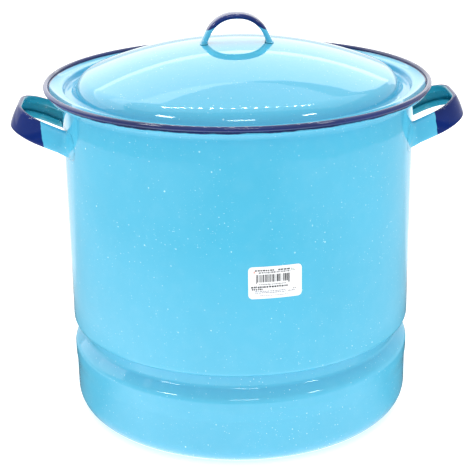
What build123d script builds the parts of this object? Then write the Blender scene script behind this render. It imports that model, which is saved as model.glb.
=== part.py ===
from build123d import *
import math
import os

os.makedirs("parts", exist_ok=True)

# Water bath canner: an enamelled pot with a domed lift-off lid, a perforated plate that rests
# on a ledge pressed into the wall, and a wire jar rack that stands on the plate.
# Frame: millimetres, +Z up, origin at the middle of the base, side handles on the X axis.

# ---- Fits and clearances -------------------------------------------------------------------
REST_GAP = 0.3          # left between two loose pieces that rest on each other
LID_PLAY = 1.2          # between the lid's locating step and the pot's bore
PLATE_PLAY = 4.0        # between the plate's wire rim and the pot's bore
RACK_PLAY = 16.0        # between the rack's guard rings and the pot's bore
WELD_BITE = 0.015       # how far welded wires sink into each other
EYE_PLAY = 1.0          # between a lifting handle's eye and the ring inside it
EYE_LAP = 0.4           # the leg starts this far outside the middle of the eye's wire

# ---- Pot shell -----------------------------------------------------------------------------
POT_WALL_R = 177.2      # outside of the straight wall
POT_HEIGHT = 344.1      # top of the curled rim
POT_SHEET = 1.2
RIM_REACH = 13.8        # how far the curled rim stands out from the wall
RIM_BEAD_R = 2.5        # radius of the curl
RIM_FLARE_R = 10.0
LEDGE_Z = 97.6          # underside of the ledge
LEDGE_DEPTH = 10.5
LEDGE_BEND_R = 5.5
GROOVE_TOP_BEND_R = 2.5
GROOVE_FOOT_BEND_R = 5.0
GROOVE_FLOOR = 14.5     # height of the groove's floor below the ledge
GROOVE_DROP = 24.6      # the groove runs back out to the wall this far below the ledge
SWAGE_BEND_R = 8.0      # the swage is the rounded bulge below the groove
SWAGE_DROP = 36.6       # from the ledge down to the foot of the swage
SWAGE_BLEND_R = 40.0
LOWER_WALL_DROP = 47.6  # from the ledge down to where the wall is straight again
LOWER_WALL_SET_IN = 1.0
BASE_CORNER_R = 22.0
BASE_PANEL_R = 120.0    # pressed panel in the middle of the base
BASE_PANEL_RISE = 1.5
BASE_PANEL_SLOPE = 5.0

# ---- Side handles --------------------------------------------------------------------------
GRIP_REACH = 48.4       # from the wall to the strap's face at the tip
GRIP_SPAN = 97.5        # across the outside of the two legs
GRIP_CORNER_R = 36.0
GRIP_WIDTH = 24.0
GRIP_DEPTH = 5.5        # thickness of the folded strap
GRIP_SHEET = 1.4
GRIP_EDGE_R = 2.4
GRIP_SLOT = 13.0        # opening between the two turned-in lips
GRIP_TILT = 24.0        # degrees up from level
GRIP_BELOW_RIM = 45.3
TAB_REACH = 21.5        # how far a weld tab runs on past the leg
TAB_HEIGHT = 27.0
TAB_CORNER_R = 7.0

# ---- Paper label ---------------------------------------------------------------------------
LABEL_WIDTH = 50.8
LABEL_HEIGHT = 31.75
LABEL_SHEET = 0.2
LABEL_CORNER_R = 4.0
LABEL_Z = 195.0
LABEL_TURN = 7.7        # degrees round from the front towards +X

# ---- Lid -----------------------------------------------------------------------------------
LID_SHEET = 1.0
LID_OVERHANG = 4.0      # how far the lid's edge stands out past the pot's rim
LID_BEAD_R = 2.6
LID_BEAD_LIFT = 1.0     # curl's centre above the top of the brim
CHANNEL_DEPTH = 7.0
CHANNEL_WIDTH = 9.2
CHANNEL_BEND_R = 2.5
STEP_SLOPE = 1.6
DOME_FOOT_BEND_R = 5.0
SHOULDER_R = 20.0
SHOULDER_SWEEP = 75.0   # degrees from level to where the shoulder meets the channel's wall
DOME_RISE = 39.6        # top of the dome above the brim

# ---- Lid handle ----------------------------------------------------------------------------
BAIL_SPAN = 73.0
BAIL_RISE = 29.2        # top of the handle above the top of the dome
BAIL_WIDTH = 19.0
BAIL_DEPTH = 5.5
BAIL_SHEET = 1.3
BAIL_CORNER_R = 32.0
BAIL_SPLAY = 14.0       # how far each foot stands out from the arch's upper corner
BAIL_EDGE_R = 2.2
BAIL_SLOT = 10.0

# ---- Perforated plate ----------------------------------------------------------------------
PLATE_SHEET = 1.2
PLATE_RIM_WIRE_R = 2.0
HOLE_R = 3.5
HOLE_PITCH = 24.0       # from one ring of holes to the next
HOLE_RING_STEP = 6      # holes that each ring adds
HOLE_EDGE = 20.0        # plain border outside the last ring

# ---- Jar rack ------------------------------------------------------------------------------
RING_WIRE_R = 2.0
BENT_WIRE_R = 1.75
JAR_BAY = 98.0          # widest jar that the middle bay takes
RACK_HEIGHT = 88.0      # from the floor wires to the top wires
WIRE_BEND_R = 8.0
GUARD_SET = 11.0        # guard rings in from the ends of the uprights
BAY_COUNT = 6
FLOOR_RING_SPREAD = 22.0
INNER_FLOOR_SET_IN = 21.0
LIFT_SPAN = 64.0        # between the two eyes of a lifting handle
LIFT_TAPER = 5.0
LIFT_CORNER_R = 9.0
LIFT_TO_CENTRE = 70.0   # what is left between a folded handle and the pot's axis
LIFT_LEAN = 4.0         # degrees outwards past upright, against the pot's wall

# ---- Worked out from the sizes above -------------------------------------------------------
BORE_R = POT_WALL_R - POT_SHEET
RIM_CENTRE_R = POT_WALL_R + RIM_REACH - RIM_BEAD_R
RIM_CENTRE_Z = POT_HEIGHT - RIM_BEAD_R
FLANGE_Z = RIM_CENTRE_Z - POT_SHEET / 2
LOWER_WALL_R = POT_WALL_R - LOWER_WALL_SET_IN
LEDGE_TOP_Z = LEDGE_Z + POT_SHEET

BRIM_Z = POT_HEIGHT + REST_GAP + LID_SHEET
LID_CENTRE_R = POT_WALL_R + RIM_REACH + LID_OVERHANG - LID_BEAD_R
LID_CENTRE_Z = BRIM_Z + LID_BEAD_LIFT
STEP_FOOT_R = BORE_R - LID_PLAY - LID_SHEET
CHANNEL_Z = BRIM_Z - CHANNEL_DEPTH
DOME_TOP_Z = BRIM_Z + DOME_RISE
BAIL_TOP_Z = DOME_TOP_Z + BAIL_RISE

PLATE_RIM_R = BORE_R - PLATE_PLAY - PLATE_RIM_WIRE_R
PLATE_RIM_Z = LEDGE_TOP_Z + REST_GAP + PLATE_RIM_WIRE_R
PLATE_R = PLATE_RIM_R - PLATE_RIM_WIRE_R
PLATE_Z = PLATE_RIM_Z - PLATE_SHEET / 2
PLATE_TOP_Z = PLATE_Z + PLATE_SHEET

GUARD_R = BORE_R - RACK_PLAY - RING_WIRE_R
UPRIGHT_R = GUARD_R - RING_WIRE_R - BENT_WIRE_R + WELD_BITE
FLOOR_Z = PLATE_TOP_Z + REST_GAP + BENT_WIRE_R
RACK_TOP_Z = FLOOR_Z + RACK_HEIGHT
FLOOR_RING_Z = FLOOR_Z + BENT_WIRE_R + RING_WIRE_R - WELD_BITE
LOWER_GUARD_Z = FLOOR_Z + GUARD_SET
UPPER_GUARD_Z = RACK_TOP_Z - GUARD_SET
HUB_R = JAR_BAY / 2 + RING_WIRE_R
JAR_CIRCLE_R = (HUB_R + GUARD_R) / 2


def finish(piece, name):
    """Label a finished piece and write it out."""
    piece.part.label = name
    export_step(piece.part, f"parts/{name}.step")


# ---- Pot shell -----------------------------------------------------------------------------
with BuildPart() as pot_shell:
    with BuildSketch(Plane.XZ):
        with BuildLine():
            FilletPolyline(
                (RIM_CENTRE_R, FLANGE_Z),
                (POT_WALL_R, FLANGE_Z),
                (POT_WALL_R, LEDGE_Z),
                (POT_WALL_R - LEDGE_DEPTH, LEDGE_Z),
                (POT_WALL_R - LEDGE_DEPTH, LEDGE_Z - GROOVE_FLOOR),
                (POT_WALL_R, LEDGE_Z - GROOVE_DROP),
                (POT_WALL_R, LEDGE_Z - SWAGE_DROP),
                (LOWER_WALL_R, LEDGE_Z - LOWER_WALL_DROP),
                (LOWER_WALL_R, 0),
                (BASE_PANEL_R + BASE_PANEL_SLOPE, 0),
                (BASE_PANEL_R, BASE_PANEL_RISE),
                (0, BASE_PANEL_RISE),
                radius=[
                    RIM_FLARE_R,
                    LEDGE_BEND_R,
                    GROOVE_TOP_BEND_R,
                    GROOVE_FOOT_BEND_R,
                    SWAGE_BEND_R,
                    SWAGE_BLEND_R,
                    SWAGE_BLEND_R,
                    BASE_CORNER_R,
                    BASE_PANEL_SLOPE,
                    BASE_PANEL_SLOPE,
                ],
            )
            offset(amount=POT_SHEET, side=Side.RIGHT)
        make_face()
        with Locations((RIM_CENTRE_R, RIM_CENTRE_Z)):
            Circle(RIM_BEAD_R)
    revolve(axis=Axis.Z)
finish(pot_shell, "pot_shell")

# ---- Side handles --------------------------------------------------------------------------
# Each handle is a strap with turned-in lips, bent into a loop that lies in a plane tilted up
# from the wall. Two weld tabs spread its feet along the wall.
grip_z = POT_HEIGHT - GRIP_BELOW_RIM
tilt = math.radians(GRIP_TILT)
grip_tip = GRIP_REACH / math.cos(tilt)
grip_plane = Plane(
    origin=(POT_WALL_R, 0, grip_z),
    x_dir=(math.cos(tilt), 0, math.sin(tilt)),
    z_dir=(-math.sin(tilt), 0, math.cos(tilt)),
)
grip_root = -GRIP_SPAN / 2


def grip_loop(inset):
    """Outline of the loop, inset from the strap's outer face, closed inside the wall."""
    half = GRIP_SPAN / 2 - inset
    tip = grip_tip - inset
    with BuildSketch() as loop:
        with BuildLine():
            FilletPolyline(
                (grip_root, half),
                (tip, half),
                (tip, -half),
                (grip_root, -half),
                radius=GRIP_CORNER_R - inset,
            )
            Line((grip_root, -half), (grip_root, half))
        make_face()
    return loop.sketch


# The weld tabs are curved with the wall.
tab_inner = GRIP_SPAN / 2 - GRIP_DEPTH
tab_outer = GRIP_SPAN / 2 + TAB_REACH
tab_middle = (tab_inner + tab_outer) / 2
with BuildPart() as weld_tabs:
    with BuildSketch(Plane.XY.offset(grip_z - TAB_HEIGHT / 2)):
        Circle(POT_WALL_R + GRIP_SHEET)
        Circle(POT_WALL_R, mode=Mode.SUBTRACT)
    extrude(amount=TAB_HEIGHT)
    with BuildSketch(Plane.YZ.offset(POT_WALL_R / 2)):
        with Locations((tab_middle, grip_z), (-tab_middle, grip_z)):
            RectangleRounded(tab_outer - tab_inner, TAB_HEIGHT, TAB_CORNER_R)
    extrude(amount=POT_WALL_R, mode=Mode.INTERSECT)

with BuildPart() as right_side_handle:
    with BuildSketch(grip_plane):
        add(grip_loop(0))
        add(grip_loop(GRIP_DEPTH), mode=Mode.SUBTRACT)
    extrude(amount=GRIP_WIDTH / 2, both=True)
    long_edges = edges().filter_by(
        lambda e: abs(abs(grip_plane.to_local_coords(e @ 0.5).Z) - GRIP_WIDTH / 2) < 0.01
    ).filter_by(lambda e: grip_plane.to_local_coords(e @ 0.5).X > grip_root + 1)
    fillet(long_edges, GRIP_EDGE_R)
    # The strap is hollow between its face and its lips, and open towards the pot.
    with BuildSketch(grip_plane):
        add(grip_loop(GRIP_SHEET))
        add(grip_loop(GRIP_DEPTH - GRIP_SHEET), mode=Mode.SUBTRACT)
    extrude(amount=GRIP_WIDTH / 2 - GRIP_SHEET, both=True, mode=Mode.SUBTRACT)
    with BuildSketch(grip_plane):
        add(grip_loop(GRIP_SHEET * 2))
        add(grip_loop(GRIP_DEPTH + 1), mode=Mode.SUBTRACT)
    extrude(amount=GRIP_SLOT / 2, both=True, mode=Mode.SUBTRACT)
    add(weld_tabs.part)
    with BuildSketch():
        Circle(POT_WALL_R)
    extrude(amount=POT_HEIGHT, mode=Mode.SUBTRACT)
finish(right_side_handle, "right_side_handle")

with BuildPart() as left_side_handle:
    mirror(right_side_handle.part, about=Plane.YZ)
finish(left_side_handle, "left_side_handle")

# ---- Paper label ---------------------------------------------------------------------------
label_plane = Plane(
    origin=(0, 0, LABEL_Z),
    x_dir=Vector(1, 0, 0).rotate(Axis.Z, LABEL_TURN),
    z_dir=Vector(0, -1, 0).rotate(Axis.Z, LABEL_TURN),
)
with BuildPart() as paper_label:
    with BuildSketch(Plane.XY.offset(LABEL_Z - LABEL_HEIGHT / 2)):
        Circle(POT_WALL_R + LABEL_SHEET)
        Circle(POT_WALL_R, mode=Mode.SUBTRACT)
    extrude(amount=LABEL_HEIGHT)
    with BuildSketch(label_plane):
        RectangleRounded(LABEL_WIDTH, LABEL_HEIGHT, LABEL_CORNER_R)
    extrude(amount=POT_WALL_R * 1.1, mode=Mode.INTERSECT)
finish(paper_label, "paper_label")

# ---- Lid -----------------------------------------------------------------------------------
# The crown is one arc that meets the shoulder's arc without a corner, so its radius follows
# from the dome's rise and width.
shoulder_sweep = math.radians(SHOULDER_SWEEP)
shoulder_end_drop = CHANNEL_DEPTH - DOME_FOOT_BEND_R * math.tan(shoulder_sweep / 2)
dome_foot_r = STEP_FOOT_R - CHANNEL_WIDTH
shoulder_end_r = dome_foot_r - (CHANNEL_DEPTH - shoulder_end_drop) / math.tan(shoulder_sweep)
shoulder_r = shoulder_end_r - SHOULDER_R * math.sin(shoulder_sweep)
shoulder_z = BRIM_Z - shoulder_end_drop - SHOULDER_R * math.cos(shoulder_sweep)
dome_height = DOME_TOP_Z - shoulder_z
crown_r = (shoulder_r**2 + dome_height**2 - SHOULDER_R**2) / (2 * (dome_height - SHOULDER_R))
crown_angle = math.asin(shoulder_r / (crown_r - SHOULDER_R))
crown_end = (
    crown_r * math.sin(crown_angle),
    DOME_TOP_Z - crown_r * (1 - math.cos(crown_angle)),
)
shoulder_end = (shoulder_end_r, BRIM_Z - shoulder_end_drop)

with BuildPart() as lid_shell:
    with BuildSketch(Plane.XZ):
        with BuildLine():
            crown = TangentArc((0, DOME_TOP_Z), crown_end, tangent=(1, 0))
            shoulder = TangentArc(crown @ 1, shoulder_end, tangent=crown % 1)
            FilletPolyline(
                shoulder @ 1,
                (dome_foot_r, CHANNEL_Z),
                (STEP_FOOT_R, CHANNEL_Z),
                (STEP_FOOT_R + STEP_SLOPE, BRIM_Z),
                (LID_CENTRE_R, BRIM_Z),
                radius=[DOME_FOOT_BEND_R * 0.99, CHANNEL_BEND_R, CHANNEL_BEND_R],
            )
            offset(amount=LID_SHEET, side=Side.RIGHT)
        make_face()
        with Locations((LID_CENTRE_R, LID_CENTRE_Z)):
            Circle(LID_BEAD_R)
    revolve(axis=Axis.Z)
finish(lid_shell, "lid_shell")

# ---- Lid handle ----------------------------------------------------------------------------
bail_foot_z = DOME_TOP_Z - (BAIL_SPAN / 2 + BAIL_SPLAY) ** 2 / crown_r


def bail_arch(inset):
    """Outline of the arch, inset from the strap's outer face, closed inside the dome."""
    half = BAIL_SPAN / 2 - inset
    top = BAIL_TOP_Z - inset
    with BuildSketch() as arch:
        with BuildLine():
            FilletPolyline(
                (half, bail_foot_z),
                (half - BAIL_SPLAY, top),
                (-half + BAIL_SPLAY, top),
                (-half, bail_foot_z),
                radius=BAIL_CORNER_R - inset,
            )
            Line((-half, bail_foot_z), (half, bail_foot_z))
        make_face()
    return arch.sketch


with BuildPart() as lid_handle:
    with BuildSketch(Plane.XZ):
        add(bail_arch(0))
        add(bail_arch(BAIL_DEPTH), mode=Mode.SUBTRACT)
    extrude(amount=BAIL_WIDTH / 2, both=True)
    side_edges = edges().filter_by(lambda e: abs(abs((e @ 0.5).Y) - BAIL_WIDTH / 2) < 0.01)
    side_edges = side_edges.filter_by(lambda e: (e @ 0.5).Z > bail_foot_z + 0.5)
    fillet(side_edges, BAIL_EDGE_R)
    with BuildSketch(Plane.XZ):
        add(bail_arch(BAIL_SHEET))
        add(bail_arch(BAIL_DEPTH - BAIL_SHEET), mode=Mode.SUBTRACT)
    extrude(amount=BAIL_WIDTH / 2 - BAIL_SHEET, both=True, mode=Mode.SUBTRACT)
    with BuildSketch(Plane.XZ):
        add(bail_arch(BAIL_SHEET * 2))
        add(bail_arch(BAIL_DEPTH + 1), mode=Mode.SUBTRACT)
    extrude(amount=BAIL_SLOT / 2, both=True, mode=Mode.SUBTRACT)
    # The feet end on the dome.
    with BuildSketch(Plane.XZ):
        with BuildLine():
            under = TangentArc((0, DOME_TOP_Z), crown_end, tangent=(1, 0))
            Polyline(under @ 1, (0, crown_end[1]), (0, DOME_TOP_Z))
        make_face()
    revolve(axis=Axis.Z, mode=Mode.SUBTRACT)
finish(lid_handle, "lid_handle")

# ---- Perforated plate ----------------------------------------------------------------------
# A flat perforated disc, welded inside a wire rim that rests on the pot's ledge.
hole_rings = int((PLATE_R - HOLE_EDGE) // HOLE_PITCH)
with BuildPart() as perforated_plate:
    with BuildSketch(Plane.XY.offset(PLATE_Z)):
        Circle(PLATE_R)
        Circle(HOLE_R, mode=Mode.SUBTRACT)
        for ring in range(1, hole_rings + 1):
            with PolarLocations(ring * HOLE_PITCH, ring * HOLE_RING_STEP):
                Circle(HOLE_R, mode=Mode.SUBTRACT)
    extrude(amount=PLATE_SHEET)
finish(perforated_plate, "perforated_plate")


def wire_ring(radius, height, wire_r, name):
    """A closed ring of round wire."""
    with BuildPart() as ring:
        with BuildSketch(Plane.XZ):
            with Locations((radius, height)):
                Circle(wire_r)
        revolve(axis=Axis.Z)
    finish(ring, name)


wire_ring(PLATE_RIM_R, PLATE_RIM_Z, PLATE_RIM_WIRE_R, "plate_rim_wire")

# ---- Jar rack ------------------------------------------------------------------------------
rack_rings = {
    "rack_lower_guard_ring": (GUARD_R, LOWER_GUARD_Z),
    "rack_upper_guard_ring": (GUARD_R, UPPER_GUARD_Z),
    "rack_hub_ring": (HUB_R, RACK_TOP_Z),
    "rack_outer_floor_ring": (JAR_CIRCLE_R + FLOOR_RING_SPREAD, FLOOR_RING_Z),
    "rack_middle_floor_ring": (JAR_CIRCLE_R - FLOOR_RING_SPREAD, FLOOR_RING_Z),
    "rack_inner_floor_ring": (HUB_R - INNER_FLOOR_SET_IN, FLOOR_RING_Z),
}
for name, (radius, height) in rack_rings.items():
    wire_ring(radius, height, RING_WIRE_R, name)

# Each divider is one bent wire: in along the floor, up, and back in to the hub ring.
for bay in range(BAY_COUNT):
    turn = 360 / BAY_COUNT * bay
    wire_plane = Plane(
        origin=(0, 0, 0),
        x_dir=Vector(1, 0, 0).rotate(Axis.Z, turn),
        z_dir=Vector(0, -1, 0).rotate(Axis.Z, turn),
    )
    with BuildPart() as divider:
        with BuildLine(wire_plane) as route:
            FilletPolyline(
                (HUB_R - INNER_FLOOR_SET_IN - RING_WIRE_R, FLOOR_Z),
                (UPRIGHT_R, FLOOR_Z),
                (UPRIGHT_R, RACK_TOP_Z),
                (HUB_R + RING_WIRE_R - WELD_BITE, RACK_TOP_Z),
                radius=WIRE_BEND_R,
            )
        with BuildSketch(Plane(origin=route.line @ 0, z_dir=route.line % 0)):
            Circle(BENT_WIRE_R)
        sweep()
    finish(divider, f"rack_divider_wire_{bay + 1}")

# The two lifting handles hang by open eyes on the upper guard ring, and lean on the pot's wall.
eye_r = RING_WIRE_R + EYE_PLAY + BENT_WIRE_R
eye_y = math.sqrt(GUARD_R**2 - (LIFT_SPAN / 2) ** 2)
lift_length = GUARD_R - LIFT_TO_CENTRE
lean = math.radians(LIFT_LEAN)
back_plane = Plane(
    origin=(0, eye_y, UPPER_GUARD_Z),
    x_dir=(1, 0, 0),
    z_dir=(0, -math.cos(lean), math.sin(lean)),
)
with BuildPart() as back_lift_handle:
    with BuildLine(back_plane) as route:
        FilletPolyline(
            (-LIFT_SPAN / 2, eye_r + EYE_LAP),
            (-LIFT_SPAN / 2 + LIFT_TAPER, lift_length),
            (LIFT_SPAN / 2 - LIFT_TAPER, lift_length),
            (LIFT_SPAN / 2, eye_r + EYE_LAP),
            radius=LIFT_CORNER_R,
        )
    with BuildSketch(Plane(origin=route.line @ 0, z_dir=route.line % 0)):
        Circle(BENT_WIRE_R)
    sweep()
    for side in (-1, 1):
        eye_plane = Plane(origin=(side * LIFT_SPAN / 2, eye_y, UPPER_GUARD_Z), z_dir=(0, 0, 1))
        with BuildSketch(eye_plane):
            with Locations((0, eye_r)):
                Circle(BENT_WIRE_R)
        revolve(axis=Axis(eye_plane.origin, (1, 0, 0)))
finish(back_lift_handle, "back_lift_handle")

with BuildPart() as front_lift_handle:
    mirror(back_lift_handle.part, about=Plane.XZ)
finish(front_lift_handle, "front_lift_handle")
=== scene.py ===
import math
import random
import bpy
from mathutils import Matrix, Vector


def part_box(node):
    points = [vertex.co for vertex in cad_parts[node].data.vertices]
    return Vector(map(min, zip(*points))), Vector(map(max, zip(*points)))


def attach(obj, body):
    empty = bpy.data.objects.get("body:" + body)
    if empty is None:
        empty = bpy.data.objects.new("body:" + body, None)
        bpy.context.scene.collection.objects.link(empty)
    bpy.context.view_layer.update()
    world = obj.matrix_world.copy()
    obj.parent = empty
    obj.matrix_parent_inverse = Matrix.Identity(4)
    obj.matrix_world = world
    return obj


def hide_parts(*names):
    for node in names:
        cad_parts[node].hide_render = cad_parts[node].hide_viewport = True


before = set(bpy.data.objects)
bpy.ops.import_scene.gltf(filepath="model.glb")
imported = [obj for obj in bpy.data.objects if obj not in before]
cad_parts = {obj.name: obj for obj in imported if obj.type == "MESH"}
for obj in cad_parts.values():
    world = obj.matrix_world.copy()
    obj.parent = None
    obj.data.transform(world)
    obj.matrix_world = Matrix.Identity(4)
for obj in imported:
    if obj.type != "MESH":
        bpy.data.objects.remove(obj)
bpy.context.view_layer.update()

from types import SimpleNamespace

import bpy
from bpy.props import FloatProperty, FloatVectorProperty, IntProperty, PointerProperty
from mathutils import Matrix, Vector

bl_info = {
    "name": "Water Bath Canner",
    "version": (1, 0, 0),
    "blender": (4, 5, 0),
    "location": "3D View > Sidebar > Canner",
    "description": "Enamelled canning pot with a domed lid, a perforated plate and a wire jar rack",
    "category": "Add Mesh",
}

MM = 0.001

# ---- Sizes that come from the frame --------------------------------------------------------
POT_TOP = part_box("pot_shell")[1].z
POT_RIM_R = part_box("pot_shell")[1].x
LID_EDGE_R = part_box("lid_shell")[1].x
DOME_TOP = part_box("lid_shell")[1].z
BAIL_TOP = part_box("lid_handle")[1].z
LABEL_LOW, LABEL_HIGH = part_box("paper_label")
RACK_NODES = [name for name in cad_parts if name.startswith("rack_")]
LIFT_NODES = ["back_lift_handle", "front_lift_handle"]


class CannerPotSizes(bpy.types.PropertyGroup):
    """Pot shell and its side handles"""

    wall_radius: FloatProperty(
        name="Wall radius", description="Outside of the straight wall",
        default=177.2 * MM, unit="LENGTH")
    sheet: FloatProperty(
        name="Sheet", description="Thickness of the enamelled sheet", default=1.2 * MM, unit="LENGTH")
    ledge_height: FloatProperty(
        name="Ledge height", description="Underside of the ledge that carries the plate",
        default=97.6 * MM, unit="LENGTH")
    ledge_depth: FloatProperty(
        name="Ledge depth", description="How far the ledge runs in from the wall",
        default=10.5 * MM, unit="LENGTH")
    grip_span: FloatProperty(
        name="Handle span", description="Across the outside of a side handle's two legs",
        default=97.5 * MM, unit="LENGTH")
    grip_width: FloatProperty(
        name="Handle width", description="Width of the side handle's strap",
        default=24.0 * MM, unit="LENGTH")
    grip_reach: FloatProperty(
        name="Handle reach", description="From the wall to the strap's face at the tip",
        default=48.4 * MM, unit="LENGTH")
    grip_tilt: FloatProperty(
        name="Handle tilt", description="How far the side handles point up from level",
        default=math.radians(24), subtype="ANGLE")
    grip_drop: FloatProperty(
        name="Handle drop", description="From the top of the rim down to the handle's root",
        default=45.3 * MM, unit="LENGTH")


class CannerLidSizes(bpy.types.PropertyGroup):
    """Lid shell and its handle"""

    sheet: FloatProperty(
        name="Sheet", description="Thickness of the enamelled sheet", default=1.0 * MM, unit="LENGTH")
    channel_depth: FloatProperty(
        name="Channel depth", description="From the brim down to the channel's floor",
        default=7.0 * MM, unit="LENGTH")
    channel_width: FloatProperty(
        name="Channel width", description="Flat floor between the dome and the step",
        default=9.2 * MM, unit="LENGTH")
    shoulder_radius: FloatProperty(
        name="Shoulder radius", description="Rounding at the edge of the dome",
        default=20.0 * MM, unit="LENGTH")
    bail_span: FloatProperty(
        name="Handle span", description="Across the outside of the lid handle's feet",
        default=73.0 * MM, unit="LENGTH")
    bail_width: FloatProperty(
        name="Handle width", description="Width of the lid handle's strap",
        default=19.0 * MM, unit="LENGTH")


class CannerFinish(bpy.types.PropertyGroup):
    """Colours and surface of the enamel, paper and metal"""

    enamel_colour: FloatVectorProperty(
        name="Enamel", description="Main colour of the enamel", subtype="COLOR",
        default=(0.083, 0.472, 0.685), min=0, max=1)
    trim_colour: FloatVectorProperty(
        name="Trim", description="Dark colour on the rims and grips", subtype="COLOR",
        default=(0.002, 0.014, 0.110), min=0, max=1)
    # Painted shade: this darker teal stands in for the shade inside the handles' straps, which carry the
    # same glaze as their outsides.
    shaded_inside_colour: FloatVectorProperty(
        name="Inside of handles", description="Thinner enamel inside the handles' straps", subtype="COLOR",
        default=(0.030, 0.340, 0.440), min=0, max=1)
    speck_colour: FloatVectorProperty(
        name="Specks", description="Fine pale specks in the enamel", subtype="COLOR",
        default=(0.56, 0.88, 0.95), min=0, max=1)
    speck_spacing: FloatProperty(
        name="Speck spacing", description="Typical distance between specks",
        default=4.2 * MM, unit="LENGTH")
    plate_colour: FloatVectorProperty(
        name="Plate", description="Colour of the perforated plate", subtype="COLOR",
        default=(0.52, 0.53, 0.54), min=0, max=1)
    wire_colour: FloatVectorProperty(
        name="Wire", description="Colour of the plated wire", subtype="COLOR",
        default=(0.60, 0.61, 0.62), min=0, max=1)


class CannerStage(bpy.types.PropertyGroup):
    """Camera, floor and light"""

    camera_distance: FloatProperty(
        name="Camera distance", description="Level distance from the pot's axis",
        default=1.3034, unit="LENGTH")
    camera_height: FloatProperty(
        name="Camera height", description="Height above the floor", default=0.6513, unit="LENGTH")
    camera_side: FloatProperty(
        name="Camera side", description="Turn of the camera round the pot, to the left of the front",
        default=math.radians(3.0), subtype="ANGLE")
    camera_pitch: FloatProperty(
        name="Camera pitch", description="How far the camera looks down",
        default=math.radians(20.0), subtype="ANGLE")
    camera_roll: FloatProperty(
        name="Camera roll", description="Tilt of the camera about its own line of sight",
        default=-0.0145, subtype="ANGLE")
    camera_yaw: FloatProperty(
        name="Camera yaw", description="How far the camera looks past the pot's axis",
        default=-0.0019, subtype="ANGLE")
    lens: FloatProperty(
        name="Lens", description="Focal length in millimetres", default=99.8, min=10, max=300)
    lamp_count: IntProperty(
        name="Lamps", description="Small lamps in the row overhead", default=17, min=1, max=40)


# ---- Mesh helpers --------------------------------------------------------------------------
def bent_path(corners, per_bend=10, hold=0.8 * MM):
    """Points along a path whose corners, given as (point, bend radius), are true arcs.

    Each straight run also gets a point close to either end, so that smooth shading stays flat along it.
    """
    path = [Vector(corners[0][0])]
    for (before, _), (here, radius), (after, _) in zip(corners, corners[1:], corners[2:]):
        here = Vector(here)
        back = (Vector(before) - here).normalized()
        ahead = (Vector(after) - here).normalized()
        turn = math.pi - back.angle(ahead)
        reach = radius * math.tan(turn / 2)
        centre = here + (back + ahead).normalized() * (radius / math.cos(turn / 2))
        first = (here + back * reach - centre).normalized()
        last = (here + ahead * reach - centre).normalized()
        path.append(here + back * (reach + hold))
        for step in range(per_bend + 1):
            path.append(centre + first.slerp(last, step / per_bend) * radius)
        path.append(here + ahead * (reach + hold))
    path.append(Vector(corners[-1][0]))
    return path


def profile_arc(centre, radius, start, end, steps):
    """Points on an arc in the XZ plane; angles run from +X towards +Z."""
    angles = [start + (end - start) * step / steps for step in range(steps + 1)]
    return [Vector((centre[0] + radius * math.cos(a), 0, centre[1] + radius * math.sin(a))) for a in angles]


def offset_profile(profile, amount):
    """The profile moved to its left by amount, seen with +X right and +Z up."""
    moved = []
    for index, point in enumerate(profile):
        ahead = profile[min(index + 1, len(profile) - 1)]
        behind = profile[max(index - 1, 0)]
        along = (ahead - behind).normalized()
        moved.append(point + Vector((-along.z, 0, along.x)) * amount)
    return moved


def new_piece(name, points, faces, materials, body, replaced=(), face_slots=None):
    """A smooth mesh piece that rides on a body and stands for the CAD nodes it replaces."""
    mesh = bpy.data.meshes.new(name)
    mesh.from_pydata([tuple(p) for p in points], [], faces)
    for material in materials:
        mesh.materials.append(material)
    mesh.shade_smooth()
    if face_slots:
        mesh.polygons.foreach_set("material_index", face_slots)
    mesh.validate()
    piece = bpy.data.objects.new(name, mesh)
    bpy.context.scene.collection.objects.link(piece)
    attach(piece, body)
    if replaced:
        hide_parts(*replaced)
    return piece


def lathe(profile, segments=224):
    """Points and faces of a profile turned about the upright axis. Its two ends are put on the axis."""
    profile[0].x = 0
    profile[-1].x = 0
    points = []
    rings = []
    for spot in profile:
        if spot.x < 1e-6:
            rings.append([len(points)])
            points.append(Vector((0, 0, spot.z)))
            continue
        rings.append(range(len(points), len(points) + segments))
        for segment in range(segments):
            angle = 2 * math.pi * segment / segments
            points.append(Vector((spot.x * math.cos(angle), spot.x * math.sin(angle), spot.z)))
    faces = []
    for low, high in zip(rings, rings[1:]):
        for segment in range(segments):
            after = (segment + 1) % segments
            if len(low) == 1:
                faces.append((low[0], high[segment], high[after]))
            elif len(high) == 1:
                faces.append((low[segment], high[0], low[after]))
            else:
                faces.append((low[segment], high[segment], high[after], low[after]))
    return points, faces


def smooth_step(value):
    """0 below 0, 1 above 1, and an easy curve between."""
    value = min(1, max(0, value))
    return value * value * (3 - 2 * value)


def even_points(path, spacing):
    """The path's points again, at an even spacing."""
    lengths = [0]
    for here, ahead in zip(path, path[1:]):
        lengths.append(lengths[-1] + (ahead - here).length)
    count = max(2, round(lengths[-1] / spacing))
    even = []
    index = 0
    for step in range(count + 1):
        target = lengths[-1] * step / count
        while index < len(path) - 2 and lengths[index + 1] < target:
            index += 1
        share = (target - lengths[index]) / max(lengths[index + 1] - lengths[index], 1e-9)
        even.append(path[index].lerp(path[index + 1], share))
    return even


def corner_cut(to_end, corner):
    """How much a strap's rounded corner takes off its half width, this far from its end."""
    short = max(corner - to_end, 0)
    return corner - math.sqrt(corner**2 - short**2)


SEGMENTS_PER_FACE = 8
SEGMENTS_PER_BEND = 10
ALL_OUTER = 99          # edge segments of a station that is outer skin all round


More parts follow.
